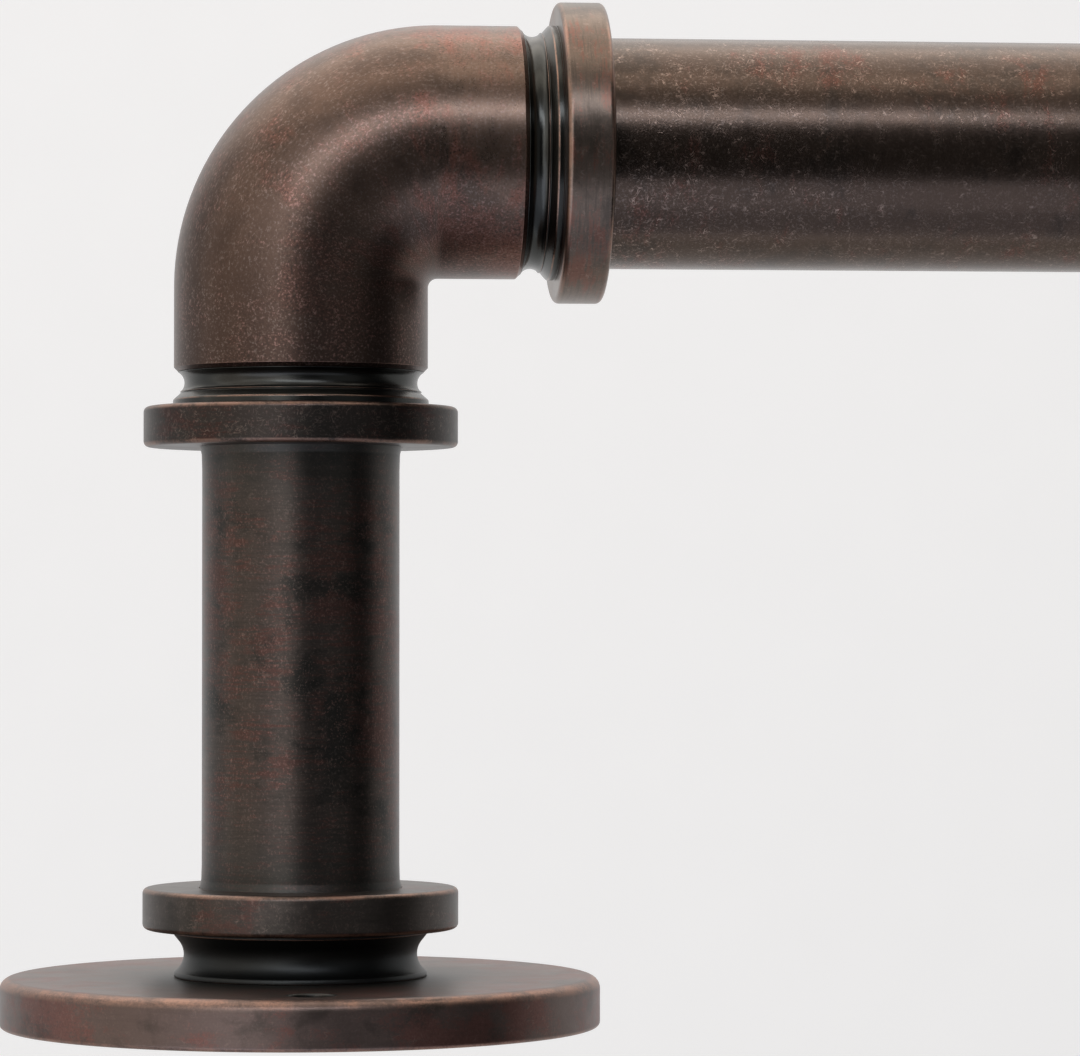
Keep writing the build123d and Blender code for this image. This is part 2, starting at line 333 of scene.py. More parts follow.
class Graph:
    """Short names for the shader nodes of one material."""

    def __init__(self, name):
        self.material = bpy.data.materials.new(name)
        self.material.use_nodes = True
        self.tree = self.material.node_tree
        self.shader = self.tree.nodes["Principled BSDF"]

    def node(self, kind, inputs=(), **settings):
        """A new node with these inputs and settings."""
        made = self.tree.nodes.new(kind)
        for key, value in settings.items():
            setattr(made, key, value)
        for key, value in dict(inputs).items():
            self.put(made.inputs[key], value)
        return made

    def put(self, socket, value):
        """Links a socket into an input, or sets a plain value on it."""
        if isinstance(value, bpy.types.NodeSocket):
            self.tree.links.new(value, socket)
        else:
            socket.default_value = value

    def attribute(self, name, output="Fac"):
        """What the vertices carry under this name."""
        return self.node("ShaderNodeAttribute", attribute_name=name).outputs[output]

    def math(self, operation, *values):
        """The result of a math operation on one or two values."""
        made = self.node("ShaderNodeMath", operation=operation)
        for socket, value in zip(made.inputs, values):
            self.put(socket, value)
        return made.outputs[0]

    def vary(self, value, noise, amount):
        """value, plus amount times how far the noise is from its middle."""
        off_middle = self.math("SUBTRACT", noise, 0.5)
        return self.math("ADD", value, self.math("MULTIPLY", off_middle, amount))

    def weighted(self, first, first_share, second, second_share):
        """Two values added in these shares."""
        first_part = self.math("MULTIPLY", first, first_share)
        return self.math("ADD", first_part, self.math("MULTIPLY", second, second_share))

    def stretch(self, vector, scale):
        """The vector with each of its directions scaled."""
        inputs = {"Vector": vector, "Scale": scale}
        return self.node("ShaderNodeMapping", inputs).outputs["Vector"]

    def in_mm(self, vector):
        """A place in millimetres, so that the scale of a noise is per millimetre."""
        return self.stretch(vector, (1 / MM, 1 / MM, 1 / MM))

    def place_mm(self):
        """The place on an object without lathe attributes, in millimetres."""
        return self.in_mm(self.node("ShaderNodeTexCoord").outputs["Object"])

    def noise(self, vector, scale, detail=2.0, roughness=0.5, distortion=0.0):
        """A smooth random value of about 0.3 to 0.7."""
        inputs = {
            "Vector": vector,
            "Scale": scale,
            "Detail": detail,
            "Roughness": roughness,
            "Distortion": distortion,
        }
        return self.node("ShaderNodeTexNoise", inputs).outputs["Fac"]

    def cells(self, vector, scale):
        """Distance to the nearest cell centre, and a random number for each cell."""
        made = self.node("ShaderNodeTexVoronoi", {"Vector": vector, "Scale": scale})
        split = self.node("ShaderNodeSeparateColor", {"Color": made.outputs["Color"]})
        return made.outputs["Distance"], split.outputs[0]

    def span(self, value, low, high, to_low=0.0, to_high=1.0):
        """value between low and high mapped smoothly to between to_low and to_high."""
        inputs = {
            "Value": value,
            "From Min": low,
            "From Max": high,
            "To Min": to_low,
            "To Max": to_high,
        }
        made = self.node("ShaderNodeMapRange", inputs, interpolation_type="SMOOTHSTEP")
        return made.outputs["Result"]

    def blend(self, share, first, second):
        """The first colour where share is 0, the second where it is 1."""
        made = self.node("ShaderNodeMix", data_type="RGBA")
        self.put(made.inputs["Factor"], share)
        self.put(made.inputs[6], first)
        self.put(made.inputs[7], second)
        return made.outputs[2]

    def bump(self, height, depth):
        """A normal from a height of 0 to 1, depth in metres."""
        inputs = {"Height": height, "Distance": depth, "Strength": 1.0}
        return self.node("ShaderNodeBump", inputs).outputs["Normal"]


GREEN_PATINA = (0.037, 0.035, 0.032, 1)
BLACK_PATINA_AND_SHADE = (0.050, 0.051, 0.048, 1)
GREY_GRAIN = (0.23, 0.19, 0.172, 1)
RED_GRAIN = (0.27, 0.155, 0.135, 1)
COPPER = (0.30, 0.185, 0.142, 1)
BRIGHT_COPPER = (0.52, 0.39, 0.33, 1)
STEEL_DARK = (0.42, 0.42, 0.40, 1)
STEEL_LIGHT = (0.6, 0.6, 0.58, 1)
NYLON_DARK = (0.014, 0.014, 0.014, 1)
NYLON_LIGHT = (0.024, 0.023, 0.022, 1)

BRONZE_RELIEF = 0.010        # how deep each material's fine relief is, in millimetres
STEEL_RELIEF = 0.003
NYLON_RELIEF = 0.01


def antique_bronze(name, base, red=0.5, gloss=0.32, grains=0.5, strokes=0.5, brushing=0.3, rim=1.0,
                   dark_gloss=0.4, patina_and_shade=BLACK_PATINA_AND_SHADE, mottle=0.45):
    """Dark plated bronze, rubbed through to copper in grains, fine strokes, patches and along its edges.

    base is its colour between the patches, red how much red-brown shows, gloss the base roughness,
    grains and strokes the amount of fine marks of each kind, brushing the strength of the lathe lines,
    rim how coppery the edges are, dark_gloss and patina_and_shade the roughness and colour of the dark
    places, which are painted shade with some dark patina, and mottle the strength of the darker blotches
    between.
    """
    g = Graph(name)
    where = g.in_mm(g.attribute("turn", "Vector"))
    edge = g.attribute("edge")
    dark = g.attribute("dark")
    rubbed = g.attribute("rubbed")

    clouds = g.noise(where, 0.06, detail=3, roughness=0.6, distortion=0.3)
    patches = g.noise(g.stretch(where, (1.5, 0.8, 0.8)), 0.24, detail=7, roughness=0.68, distortion=0.4)
    smoke = g.noise(where, 0.13, detail=4, roughness=0.6, distortion=0.5)
    fine = g.noise(where, 3.8, detail=2, roughness=0.7)
    lathe = g.noise(g.stretch(where, (2.8, 0.17, 0.17)), 1.0, detail=4, roughness=0.74)

    # Red-brown patches, darker blotches, lathe lines, and painted shade in the dark zones and concave
    # edges, black in the necks over their dark patina.
    tone = g.weighted(clouds, 0.5, patches, 0.5)
    tone = g.vary(tone, fine, 0.2)
    tone = g.vary(tone, lathe, brushing * 0.5)
    redness = g.span(tone, 0.645 - 0.3 * red, 0.755 - 0.3 * red)
    redder = (base[0] * 1.18, base[1] * 0.83, base[2] * 0.80, 1)
    colour = g.blend(redness, base, redder)
    blotch = g.weighted(smoke, 0.6, patches, 0.4)
    darkness = g.span(blotch, 0.51, 0.38, 0.0, mottle)
    colour = g.blend(darkness, colour, GREEN_PATINA)
    lines = g.span(lathe, 0.52, 0.36, 0.0, brushing * 0.3)
    colour = g.blend(lines, colour, GREEN_PATINA)
    # Painted shade: the dark zones and the concave edges are blended to the dark patina colour.
    shaded = g.math("MAXIMUM", dark, g.span(edge, -0.1, -0.8))
    colour = g.blend(shaded, colour, patina_and_shade)

    # Fine bright grains and dark pits, where the piece is rubbed.
    spread = g.math("MULTIPLY", rubbed, g.span(tone, 0.38, 0.58, 0.25, 1.0))
    grain = g.span(fine, 0.53, 0.68)
    grain = g.math("MULTIPLY", grain, g.math("MULTIPLY", spread, grains))
    grain_colour = g.blend(redness, GREY_GRAIN, RED_GRAIN)
    colour = g.blend(grain, colour, grain_colour)
    pits = g.span(fine, 0.46, 0.32, 0.0, 0.95)
    pits = g.math("MULTIPLY", pits, g.math("MULTIPLY", spread, grains))
    colour = g.blend(pits, colour, GREEN_PATINA)

    # Hair-thin strokes and small dots of bare metal.
    hair = g.noise(where, 0.8, detail=2, roughness=0.5, distortion=1.6)
    hair = g.math("ABSOLUTE", g.math("SUBTRACT", hair, 0.5))
    hair = g.span(hair, 0.006, 0.036, 1.0, 0.0)
    hair_mask = g.noise(where, 1.1, detail=2, roughness=0.5)
    hair = g.math("MULTIPLY", hair, g.span(hair_mask, 0.42, 0.74))
    reach, pick = g.cells(where, 3.0)
    dots = g.math("MULTIPLY", g.span(reach, 0.1, 0.32, 1.0, 0.0), g.span(pick, 0.72, 1.2))
    marks = g.math("MAXIMUM", hair, dots)
    marks = g.math("MULTIPLY", marks, g.math("MULTIPLY", spread, strokes))
    colour = g.blend(marks, colour, BRIGHT_COPPER)

    # Copper along the worn edges, in broken lengths.
    worn = g.vary(patches, fine, 0.4)
    worn = g.math("MULTIPLY", g.span(edge, 0.15, 0.95), g.span(worn, 0.34, 0.62, 0.15, 1.0))
    colour = g.blend(g.math("MULTIPLY", worn, rim), colour, COPPER)
    g.put(g.shader.inputs["Base Color"], colour)

    rough = g.vary(gloss, patches, 0.15)
    rough = g.math("ADD", rough, g.math("MULTIPLY", g.math("MAXIMUM", marks, grain), 0.06))
    rough = g.span(shaded, 0.0, 1.0, rough, dark_gloss)
    g.put(g.shader.inputs["Roughness"], rough)
    height = g.math("ADD", g.math("MULTIPLY", lathe, brushing * 0.8), g.math("MULTIPLY", fine, 0.8))
    height = g.math("SUBTRACT", height, marks)
    g.put(g.shader.inputs["Normal"], g.bump(height, BRONZE_RELIEF * MM))
    g.shader.inputs["Metallic"].default_value = 1.0
    return g.material


def plated_steel(name):
    """Zinc-plated steel with a faint cloudy grain."""
    g = Graph(name)
    grain = g.noise(g.place_mm(), 3.0, detail=3, roughness=0.6)
    colour = g.blend(g.span(grain, 0.3, 0.7), STEEL_DARK, STEEL_LIGHT)
    g.put(g.shader.inputs["Base Color"], colour)
    g.put(g.shader.inputs["Roughness"], g.span(grain, 0.2, 0.8, 0.28, 0.42))
    g.put(g.shader.inputs["Normal"], g.bump(grain, STEEL_RELIEF * MM))
    g.shader.inputs["Metallic"].default_value = 1.0
    return g.material


def black_nylon(name):
    """Moulded nylon with a fine spark-eroded grain."""
    g = Graph(name)
    grain = g.noise(g.place_mm(), 5.0, detail=2, roughness=0.6)
    colour = g.blend(g.span(grain, 0.3, 0.7), NYLON_DARK, NYLON_LIGHT)
    g.put(g.shader.inputs["Base Color"], colour)
    g.put(g.shader.inputs["Roughness"], g.span(grain, 0.2, 0.8, 0.42, 0.58))
    g.put(g.shader.inputs["Normal"], g.bump(grain, NYLON_RELIEF * MM))
    return g.material


# ---- The pieces ----

def make_wall_flange(side, material):
    """Round plate with a softly rounded rim, two wall screw holes and a countersunk centre hole."""
    low, high = box_mm(f"{side}_wall_flange")
    centre = (low + high) / 2
    thick = high.y - low.y
    outer = radius_mm(f"{side}_wall_flange")
    origin = Vector((centre.x, high.y, 0))
    axis = Vector((0, -1, 0))
    shell = Shell()

    def dark(r, s):
        """Painted shade round the post's foot: black by the foot ring, fading outwards over the front
        face.
        """
        return max(0.0, 1 - max(0.0, r - FOOT_R) / FLANGE_FADE) ** 1.5 if s > thick - 0.1 else 0.0

    def hole_dark(r, s):
        """As dark as the face round a screw hole's mouth, and black with painted shade inside it."""
        return dark(WALL_SCREW_OFFSET, s) if r > WALL_SCREW_R + 0.3 else 1.0

    def rubbed(r, s):
        return RUBBED["flange"] * (1 - 0.7 * dark(r, s))

    def strip(corners):
        outline = rounded(corners, closed=False)
        return shell.strip(turned_rings(origin, axis, outline, dark, rubbed))

    def hole_strip(corners, middle):
        outline = without_edges(rounded(corners, closed=False))
        return shell.strip(turned_rings(middle, axis, outline, hole_dark, rubbed))

    rim = strip([
        (outer - 1.2, 0),
        (outer, 0, FLANGE_BACK_ROUND),
        (outer, thick, FLANGE_TOP_ROUND),
        (outer - 2.2, thick),
    ])
    bore = strip([
        (COUNTERSINK_R + 0.4, 0),
        (COUNTERSINK_R, 0, SOFT_EDGE),
        (SCREW_BORE_R, COUNTERSINK_R - SCREW_BORE_R, SOFT_EDGE),
        (SCREW_BORE_R, thick, SOFT_EDGE),
        (SCREW_BORE_R + 0.4, thick),
        *((radius, thick) for radius in FLANGE_FACE_RINGS),
    ])
    front = [rim[-1], bore[-1]]
    back = [rim[0], bore[0]]
    for offset in (WALL_SCREW_OFFSET, -WALL_SCREW_OFFSET):
        hole = hole_strip([
            (WALL_SCREW_R + 0.6, thick),
            (WALL_SCREW_R, thick, HOLE_ROUND),
            (WALL_SCREW_R, 0, HOLE_ROUND),
            (WALL_SCREW_R + 0.6, 0),
        ], origin + Vector((0, 0, offset)))
        front.append(hole[0])
        back.append(hole[-1])
    shell.fill(front)
    shell.fill(back)
    # The screw holes share the plate's own texture coordinates, so that nothing stretches beside them.
    for vert in shell.mesh.verts:
        place = vert.co / MM - origin
        vert[shell.turn] = Vector((centre.x - place.y, place.x, place.z)) * MM
    node = f"{side}_wall_flange"
    return shell.finish(f"{side}_flange_plate", f"{side}_bracket", "bronze", material, node)


def make_base_coupling(side, material):
    """Foot ring, cove, bead and collar."""
    low, high = box_mm(f"{side}_base_coupling")
    flange_low, flange_high = box_mm(f"{side}_wall_flange")
    foot = flange_high.y - flange_low.y
    top = flange_high.y - low.y
    collar_r = radius_mm(f"{side}_base_coupling")
    recess_r = radius_mm(f"{side}_post_tube") + FIT_GAP
    origin = Vector(((low.x + high.x) / 2, flange_high.y, 0))
    foot_top = (FOOT_R, foot + FOOT_T)
    shoulder = ((COVE_R + BEAD_R) / 2 - 0.1, BASE_BEAD_AT)
    cove = arc(foot_top, (COVE_R, BASE_COVE_AT), shoulder, COVE_STEPS)
    outline = rounded([(SCREW_BORE_R, foot, SOFT_EDGE), (FOOT_R, foot, SOFT_EDGE), foot_top], closed=False)
    outline += [(r, s, 0) for r, s in cove]
    outline += rounded([
        shoulder,
        (BEAD_R, BASE_COLLAR_AT - 0.4, 0.25),
        (BEAD_R, BASE_COLLAR_AT, SOFT_EDGE),
        (collar_r, BASE_COLLAR_AT, COLLAR_ROUND),
        (collar_r, top, COLLAR_ROUND),
        (recess_r, top, SOFT_EDGE),
        (recess_r, top - POST_RECESS, SOFT_EDGE),
        (SCREW_BORE_R, top - POST_RECESS),
    ], closed=False)

    # Black in the foot and the cove below the collar: painted shade in the hollow, with its dark patina.
    def dark(r, s):
        return 1.0 if s < BASE_COLLAR_AT and r < collar_r - COLLAR_ROUND else 0.0

    def rubbed(r, s):
        return RUBBED["base"] * (1 - dark(r, s))

    shell = Shell(shift=origin.x * MM + TEXTURE_SHIFT["base"])
    shell.strip(turned_rings(origin, Vector((0, -1, 0)), outline, dark, rubbed), closed=True)
    node = f"{side}_base_coupling"
    return shell.finish(f"{side}_base_ring", f"{side}_bracket", "bronze", material, node)


def make_post_tube(side, material):
    """Short tube whose ends flare a little where they enter the collars."""
    low, high = box_mm(f"{side}_post_tube")
    wall = box_mm(f"{side}_wall_flange")[1].y
    bottom, top = wall - high.y, wall - low.y
    flared_r = radius_mm(f"{side}_post_tube")
    tube_r = flared_r - POST_FLARE
    bore_r = tube_r - POST_WALL
    lower_face, upper_face = bottom + POST_RECESS, top - POST_RECESS
    outline = rounded([
        (bore_r, bottom, TUBE_END_ROUND),
        (flared_r, bottom, TUBE_END_ROUND),
        (flared_r, lower_face - 0.1, 0.1),
        (tube_r + 0.05, lower_face + POST_FLARE_LENGTH * 0.6, 1.0),
        (tube_r, lower_face + POST_FLARE_LENGTH * 2, 1.0),
        (tube_r, upper_face - POST_FLARE_LENGTH * 2, 1.0),
        (tube_r + 0.05, upper_face - POST_FLARE_LENGTH * 0.6, 1.0),
        (flared_r, upper_face + 0.1, 0.1),
        (flared_r, top, TUBE_END_ROUND),
        (bore_r, top, TUBE_END_ROUND),
    ])
    outline = spaced(without_edges(outline), POST_RING_STEP)

    def dark(r, s):
        """Darkest beside the two collars."""
        nearest = min(abs(s - lower_face), abs(upper_face - s))
        return 0.85 * max(0.0, 1 - nearest / POST_FADE) ** 1.5

    def rubbed(r, s):
        return RUBBED["post"] * (1 - 0.8 * dark(r, s))

    origin = Vector(((low.x + high.x) / 2, wall, 0))
    shell = Shell(shift=origin.x * MM + TEXTURE_SHIFT["post"])
    shell.strip(turned_rings(origin, Vector((0, -1, 0)), outline, dark, rubbed), closed=True)
    node = f"{side}_post_tube"
    return shell.finish(f"{side}_post", f"{side}_bracket", "bronze", material, node)


def make_coupling(name, node, body, corner, axis, arm, recess, recess_r, material):
    """Spigot, cove, bead and collar, measured from the elbow's corner along axis.

    arm is how far the elbow reaches along that axis, and recess how deep the tube sits in the collar.
    """
    low, high = box_mm(node)
    ends = sorted(abs((end - corner).dot(axis)) for end in (low, high))
    spigot, collar_end = ends
    collar_r = radius_mm(node)
    face = arm + ELBOW_GAP
    collar = arm + NECK
    lip_r = ELBOW_R - ELBOW_CHAMFER
    cove_end = (NECK_COVE_END_R, face + NECK_COVE_LENGTH)
    cove = arc((lip_r, face), (COVE_R, face + NECK_COVE_AT), cove_end, COVE_STEPS)
    outline = rounded([
        (STUD_BORE_R, spigot, SOFT_EDGE),
        (SPIGOT_R, spigot, 0.3),
        (SPIGOT_R, face, SOFT_EDGE),
        (lip_r, face),
    ], closed=False)
    outline += [(r, s, 0) for r, s in cove]
    outline += rounded([
        cove_end,
        (NECK_STEP_R, face + NECK_COVE_LENGTH + 0.2, 0.06),
        (NECK_STEP_R - 0.08, face + NECK_COVE_LENGTH + 0.35, 0.06),
        (BEAD_R, collar - 0.75, 0.35),
        (BEAD_R, collar - 0.12, 0.06),
        (BEAD_R - 0.15, collar, 0.05),
        (collar_r, collar, COLLAR_ROUND),
        (collar_r, collar_end, COLLAR_ROUND),
        (recess_r, collar_end, SOFT_EDGE),
        (recess_r, collar_end - recess, SOFT_EDGE),
        (STUD_BORE_R, collar_end - recess),
    ], closed=False)

    # Black in the cove below the collar: painted shade in the hollow, with its dark patina.
    def dark(r, s):
        return 1.0 if s < collar and r < collar_r - COLLAR_ROUND else 0.0

    def rubbed(r, s):
        return RUBBED["coupling"] * (1 - dark(r, s))

    shell = Shell(shift=corner.x * MM + TEXTURE_SHIFT["coupling"])
    shell.strip(turned_rings(corner, axis, outline, dark, rubbed), closed=True)
    return shell.finish(name, body, "bronze", material, node)


def make_elbow(side, way, corner, arms, material):
    """Hollow right-angle bend with crisp chamfered ends."""
    post_arm, rod_arm = arms
    quarter = math.pi / 2 * ELBOW_BEND_R
    length = post_arm + rod_arm - 2 * ELBOW_BEND_R + quarter
    first_straight = post_arm - ELBOW_BEND_R
    to_wall, to_rod = Vector((0, 1, 0)), Vector((way, 0, 0))
    bend_centre = corner + (to_wall + to_rod) * ELBOW_BEND_R
    up = Vector((0, 0, 1))

    def place(s):
        """The centre line and its direction, s along it from the post end."""
        if s <= first_straight:
            return corner + to_wall * (post_arm - s), -to_wall
        if s >= first_straight + quarter:
            return corner + to_rod * (s - first_straight - quarter + ELBOW_BEND_R), to_rod
        angle = (s - first_straight) / ELBOW_BEND_R
        arm = -to_rod * math.cos(angle) - to_wall * math.sin(angle)
        return bend_centre + arm * ELBOW_BEND_R, to_rod * math.sin(angle) - to_wall * math.cos(angle)

    stations = [0.4 + (length - 0.8) * i / BEND_STEPS for i in range(1, BEND_STEPS)]
    outline = rounded([
        (ELBOW_BORE_R, 0, SOFT_EDGE),
        (ELBOW_R - ELBOW_CHAMFER, 0, 0.05),
        (ELBOW_R, ELBOW_CHAMFER, 0.12),
        (ELBOW_R, ELBOW_CHAMFER + 0.5),
    ], closed=False)[1:]
    stations = [s for s in stations if ELBOW_END_CLEAR < s < length - ELBOW_END_CLEAR]
    outline += [(ELBOW_R, s, 0) for s in stations]
    outline += rounded([
        (ELBOW_R, length - ELBOW_CHAMFER - 0.5),
        (ELBOW_R, length - ELBOW_CHAMFER, 0.12),
        (ELBOW_R - ELBOW_CHAMFER, length, 0.05),
        (ELBOW_BORE_R, length, SOFT_EDGE),
        (ELBOW_BORE_R, length - 0.5),
    ], closed=False)
    outline += [(ELBOW_BORE_R, s, 0) for s in reversed(stations)]
    outline += [(ELBOW_BORE_R, 0.5, 0), (ELBOW_BORE_R, SOFT_EDGE, 0)]
    shell = Shell(shift=corner.x * MM + TEXTURE_SHIFT["elbow"])
    rings = []
    for r, s, edge in outline:
        centre, along = place(min(max(s, 0), length))
        # Painted shade: darker towards the post end, fading out by the end of the bend.
        darker = max(0.0, 1 - s / (first_straight + quarter)) ** 0.65
        rings.append(Ring(centre * MM, up, along.cross(up), r * MM, s * MM, edge, darker, RUBBED["elbow"]))
    shell.strip(rings, closed=True)
    # Painted shade darkens the inside of the bend.
    for vert in shell.mesh.verts:
        depth = (vert.co / MM - bend_centre).to_2d().length - (ELBOW_BEND_R - ELBOW_R)
        vert[shell.dark] = max(vert[shell.dark], 0.9 * (1 - min(1.0, max(0.0, depth) / BEND_FADE)))
    return shell.finish(
        f"{side}_elbow_bend", f"{side}_elbow_joint", "bronze", material, f"{side}_elbow"
    )


def make_rod_tube(name, node, body, from_left, material):
    """A straight tube; its fine marks are densest by the bracket that holds it."""
    low, high = box_mm(node)
    radius = radius_mm(node)
    length = high.x - low.x
    outline = rounded([
        (radius - ROD_WALL, 0, TUBE_END_ROUND),
        (radius, 0, TUBE_END_ROUND),
        (radius, length, TUBE_END_ROUND),
        (radius - ROD_WALL, length, TUBE_END_ROUND),
    ])

    def rubbed(r, s):
        distance = s if from_left else length - s
        return ROD_RUBBED_FAR + ROD_RUBBED_MORE * math.exp(-distance / ROD_FADE)

    origin = Vector((low.x, (low.y + high.y) / 2, 0))
    shell = Shell(shift=TEXTURE_SHIFT["rod"])
    rings = turned_rings(origin, Vector((1, 0, 0)), spaced(outline, ROD_RING_STEP), no_zone, rubbed)
    shell.strip(rings, closed=True)
    return shell.finish(name, body, "bronze", material, node)


def make_glide_bush(material):
    """Nylon sleeve with a softly rounded lip over the outer tube's cut end."""
    low, high = box_mm("glide_bush")
    lip_r = radius_mm("glide_bush")
    length = high.x - low.x
    outline = rounded([
        (GLIDE_BORE_R, 0, 0.25),
        (lip_r, 0, 0.3),
        (lip_r, GLIDE_LIP_T, 0.1),
        (GLIDE_SLEEVE_R, GLIDE_LIP_T, 0.1),
        (GLIDE_SLEEVE_R, length, 0.2),
        (GLIDE_BORE_R, length, 0.1),
    ])
    origin = Vector((low.x, (low.y + high.y) / 2, 0))
    shell = Shell()
    shell.strip(turned_rings(origin, Vector((1, 0, 0)), outline), closed=True)
    return shell.finish("glide_sleeve", "outer_rod", "nylon", material, "glide_bush")


flange_bronze = antique_bronze(
    "flange_bronze", (0.142, 0.106, 0.095, 1),
    red=0.55, gloss=0.40, grains=0.35, strokes=0.2, brushing=0.25, rim=0.95, dark_gloss=0.42,
)
base_collar_bronze = antique_bronze(
    "base_collar_bronze", (0.076, 0.065, 0.059, 1),
    red=0.35, gloss=0.38, grains=0.35, strokes=0.35, brushing=0.7, rim=0.7, dark_gloss=0.42,
    patina_and_shade=(0.034, 0.036, 0.036, 1), mottle=0.6,
)
post_collar_bronze = antique_bronze(
    "post_collar_bronze", (0.044, 0.037, 0.034, 1),
    red=0.4, gloss=0.38, grains=0.35, strokes=0.35, brushing=0.6, rim=0.6, dark_gloss=0.27, mottle=0.6,
)
rod_collar_bronze = antique_bronze(
    "rod_collar_bronze", (0.165, 0.128, 0.104, 1),
    red=0.42, gloss=0.30, grains=0.35, strokes=0.4, brushing=0.9, rim=0.7, dark_gloss=0.22,
)
post_bronze = antique_bronze(
    "post_bronze", (0.076, 0.062, 0.055, 1),
    red=0.62, gloss=0.35, grains=0.6, strokes=0.22, brushing=1.1, dark_gloss=0.4, mottle=1.0,
)
elbow_bronze = antique_bronze(
    "elbow_bronze", (0.165, 0.113, 0.088, 1),
    red=0.58, gloss=0.29, grains=1.0, strokes=0.24, brushing=0.2, rim=0.5, dark_gloss=0.35,
    patina_and_shade=(0.076, 0.050, 0.041, 1), mottle=0.4,
)
rod_bronze = antique_bronze(
    "rod_bronze", (0.094, 0.067, 0.053, 1),
    red=0.40, gloss=0.25, grains=0.55, strokes=0.62, brushing=0.1,
)
steel = plated_steel("plated_steel")
nylon = black_nylon("black_nylon")

rod_low, rod_high = box_mm("outer_tube")
rod_y = (rod_low.y + rod_high.y) / 2


def make_bracket(side, way):
    """One wall bracket, its elbow and its two couplings; way is where its rod goes along X."""
    flange_low, flange_high = box_mm(f"{side}_wall_flange")
    corner = Vector(((flange_low.x + flange_high.x) / 2, rod_y, 0))
    elbow_low, elbow_high = box_mm(f"{side}_elbow")
    post_arm = elbow_high.y - rod_y
    rod_arm = (elbow_high.x - corner.x) if way > 0 else (corner.x - elbow_low.x)
    rod_body, tube = ("inner_rod", "inner_tube") if side == "left" else ("outer_rod", "outer_tube")
    post_recess_r = radius_mm(f"{side}_post_tube") + FIT_GAP
    rod_recess_r = radius_mm(tube) + FIT_GAP

    make_wall_flange(side, flange_bronze)
    make_base_coupling(side, base_collar_bronze)
    make_post_tube(side, post_bronze)
    make_coupling(
        f"{side}_post_ring", f"{side}_post_coupling", f"{side}_bracket",
        corner, Vector((0, 1, 0)), post_arm, POST_RECESS, post_recess_r, post_collar_bronze,
    )
    make_coupling(
        f"{side}_rod_ring", f"{side}_rod_coupling", rod_body,
        corner, Vector((way, 0, 0)), rod_arm, ROD_RECESS, rod_recess_r, rod_collar_bronze,
    )
    make_elbow(side, way, corner, (post_arm, rod_arm), elbow_bronze)


for side, way in SIDES.items():
    make_bracket(side, way)
make_rod_tube("rod_outer", "outer_tube", "outer_rod", False, rod_bronze)
make_rod_tube("rod_inner", "inner_tube", "inner_rod", True, rod_bronze)
make_glide_bush(nylon)

# The CAD nodes keep their meshes and get a finish by their material slot.
slots = {row["node"]: row["material_slot"] for row in frame["record"]["subparts"]}
finishes = {"steel": steel, "nylon": nylon, "bronze": base_collar_bronze}
for name, node in frame["nodes"].items():
    node.data.materials.clear()
    node.data.materials.append(finishes[slots[name]])


# ---- Floor, light and camera ----

FLOOR_BELOW = 1.1            # from the rod's lowest point down to the floor
FLOOR_REACH = 40.0           # from the middle of the floor to its sides
FLOOR_DARK = (0.46, 0.46, 0.46, 1)
FLOOR_LIGHT = (0.49, 0.49, 0.49, 1)
FLOOR_GLOW = 0.58            # emission, which keeps it pale where the softboxes don't reach
ROOM_LIGHT = 0.03            # how much the room beyond the floor lights the part
ROOM_SEEN = 0.62             # how bright the camera sees that room


def make_floor():
    """A wide pale floor, well below the rod."""
    data = bpy.data.meshes.new("floor")
    low = cad_low.z - FLOOR_BELOW
    corners = [(x * FLOOR_REACH, y * FLOOR_REACH, low) for x, y in ((-1, -1), (1, -1), (1, 1), (-1, 1))]
    data.from_pydata(corners, [], [(0, 1, 2, 3)])
    floor = bpy.data.objects.new("floor", data)
    bpy.context.scene.collection.objects.link(floor)
    g = Graph("pale_floor")
    where = g.node("ShaderNodeTexCoord").outputs["Object"]
    grain = g.noise(where, 40.0, detail=2)
    g.put(g.shader.inputs["Base Color"], g.blend(grain, FLOOR_DARK, FLOOR_LIGHT))
    g.shader.inputs["Roughness"].default_value = 0.9
    g.shader.inputs["Specular IOR Level"].default_value = 0.2
    g.shader.inputs["Emission Color"].default_value = (1, 1, 1, 1)
    g.shader.inputs["Emission Strength"].default_value = FLOOR_GLOW
    data.materials.append(g.material)


def matrix_from(right, up, back, place):
    """The matrix of a lamp or camera that stands at place and looks away from back."""
    matrix = Matrix((right, up, back)).transposed().to_4x4()
    matrix.translation = place
    return matrix


WARM = (1.10, 1.0, 0.90)
WHITE = (1.0, 1.0, 1.0)
COOL_WHITE = (0.97, 1.0, 1.08)
COOL = (0.95, 1.0, 1.16)

# Softboxes around the right bracket. azimuth turns from +X towards the wall, down is the angle below
# straight up, and spread and rise are the angles it fills, sideways and up and down.
SOFTBOXES = [
    # name, azimuth, down, spread, rise, radiance, colour
    ("room_low", -90, 130, 90, 44, 0.6, WARM),
    ("room_wide", -90, 103, 90, 54, 1.05, WARM),
    ("room_edge", -90, 72, 80, 16, 1.1, WARM),
    ("room_gap", -90, 54, 60, 24, 0.35, WARM),
    ("room_strip", -78, 32.3, 44, 10, 4.6, COOL_WHITE),
    ("wall_high", 90, 45, 70, 30, 0.66, COOL),
    ("wall_wide", 90, 78, 90, 38, 0.42, COOL),
    ("end_high", 0, 20, 40, 16, 1.2, WHITE),
    ("end_middle", 0, 45, 60, 40, 0.46, WARM),
    ("end_low", 0, 80, 80, 40, 0.62, WARM),
    ("corner_high", -38, 43, 40, 40, 0.75, WHITE),
    ("corner_low", -45, 80, 45, 40, 0.35, WARM),
    ("corner_wall", 45, 50, 40, 40, 0.9, COOL),
    ("span_high", 180, 36, 50, 40, 0.16, WHITE),
]
SOFTBOX_DISTANCE = 1.2       # from the right bracket


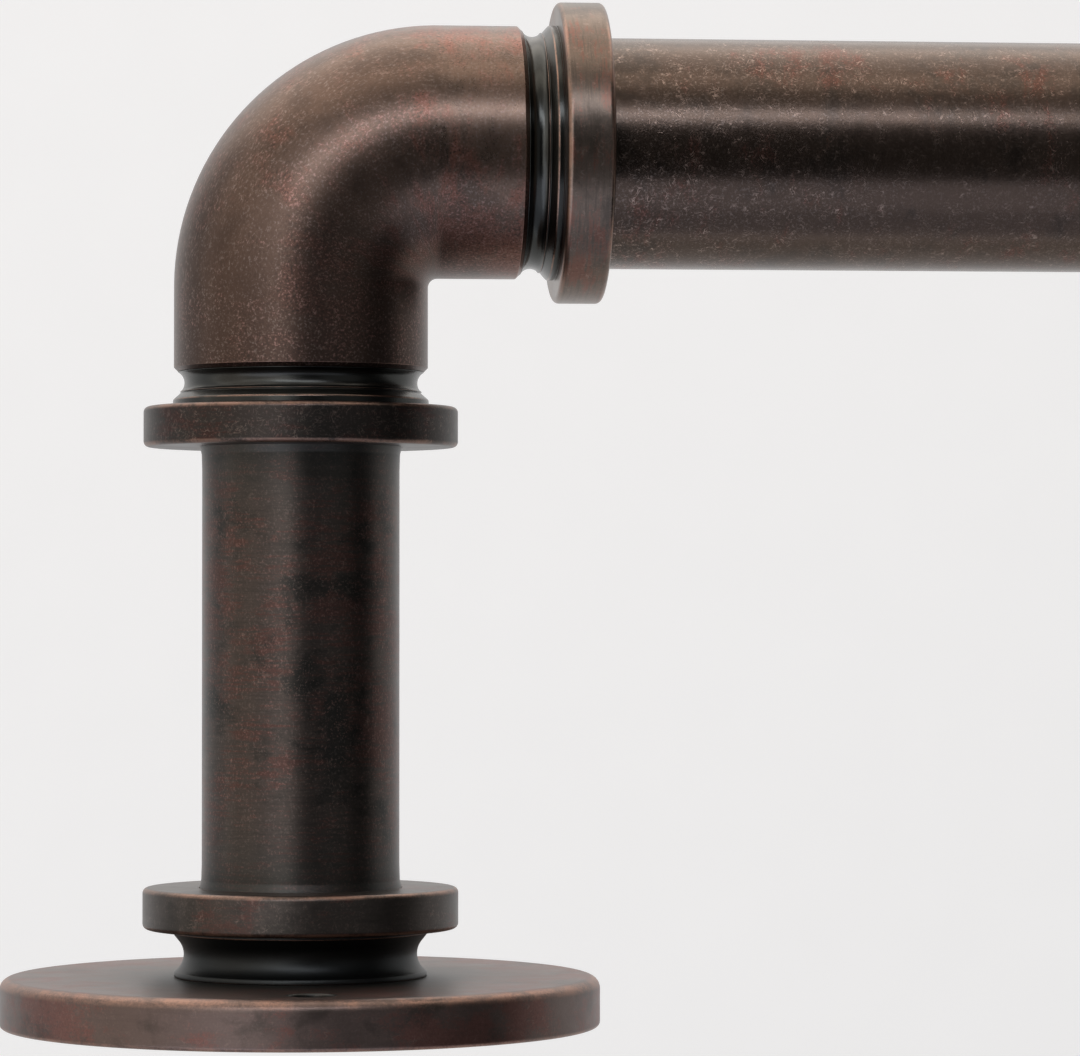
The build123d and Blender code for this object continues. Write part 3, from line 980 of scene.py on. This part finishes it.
def make_softbox(aim, name, azimuth, down, spread, rise, radiance, colour):
    """A rectangular light that faces aim and that the camera doesn't see."""
    turn, fall = math.radians(azimuth), math.radians(down)
    back = Vector((math.sin(fall) * math.cos(turn), math.sin(fall) * math.sin(turn), math.cos(fall)))
    sideways = Vector((-math.sin(turn), math.cos(turn), 0))
    data = bpy.data.lights.new(name, "AREA")
    data.shape = "RECTANGLE"
    data.size = 2 * SOFTBOX_DISTANCE * math.tan(math.radians(spread / 2))
    data.size_y = 2 * SOFTBOX_DISTANCE * math.tan(math.radians(rise / 2))
    data.energy = radiance * math.pi * data.size * data.size_y
    data.color = colour
    lamp = bpy.data.objects.new(name, data)
    bpy.context.scene.collection.objects.link(lamp)
    lamp.matrix_world = matrix_from(sideways, back.cross(sideways), back, aim + back * SOFTBOX_DISTANCE)
    lamp.visible_camera = False


def make_world():
    """The room beyond the floor: the camera sees it pale, but it lights the part very little."""
    world = bpy.data.worlds.new("studio")
    world.use_nodes = True
    nodes, links = world.node_tree.nodes, world.node_tree.links
    fill = nodes["Background"]
    seen = nodes.new("ShaderNodeBackground")
    for shader, strength in ((fill, ROOM_LIGHT), (seen, ROOM_SEEN)):
        shader.inputs["Color"].default_value = (1, 1, 1, 1)
        shader.inputs["Strength"].default_value = strength
    either = nodes.new("ShaderNodeMixShader")
    links.new(nodes.new("ShaderNodeLightPath").outputs["Is Camera Ray"], either.inputs["Fac"])
    links.new(fill.outputs["Background"], either.inputs[1])
    links.new(seen.outputs["Background"], either.inputs[2])
    links.new(either.outputs["Shader"], nodes["World Output"].inputs["Surface"])
    bpy.context.scene.world = world


# Where the camera stands and what it looks at, in metres, along X from the right post's axis.
EYE = (0.02173, -0.04559, 0.520)
TARGET = (-0.0263, -0.0544, 0)
LENS = 158.2
AIM_FROM_POST = -0.03        # where the softboxes point, along X from the right post's axis


def make_camera(post_x):
    """A long lens above the right bracket, with the wall at the bottom of the picture."""
    data = bpy.data.cameras.new("camera")
    data.lens = LENS
    data.sensor_width = 36.0
    data.clip_start = 0.01
    data.clip_end = 200.0
    camera = bpy.data.objects.new("camera", data)
    bpy.context.scene.collection.objects.link(camera)
    eye = Vector((post_x + EYE[0], EYE[1], EYE[2]))
    target = Vector((post_x + TARGET[0], TARGET[1], TARGET[2]))
    back = (eye - target).normalized()
    right = Vector((0, -1, 0)).cross(back).normalized()
    camera.matrix_world = matrix_from(right, back.cross(right), back, eye)
    bpy.context.scene.camera = camera


right_low, right_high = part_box("right_wall_flange")
right_post_x = (right_low.x + right_high.x) / 2
make_floor()
for softbox in SOFTBOXES:
    make_softbox(Vector((right_post_x + AIM_FROM_POST, rod_y * MM, 0)), *softbox)
make_world()
make_camera(right_post_x)
bpy.context.scene.view_settings.view_transform = "Standard"
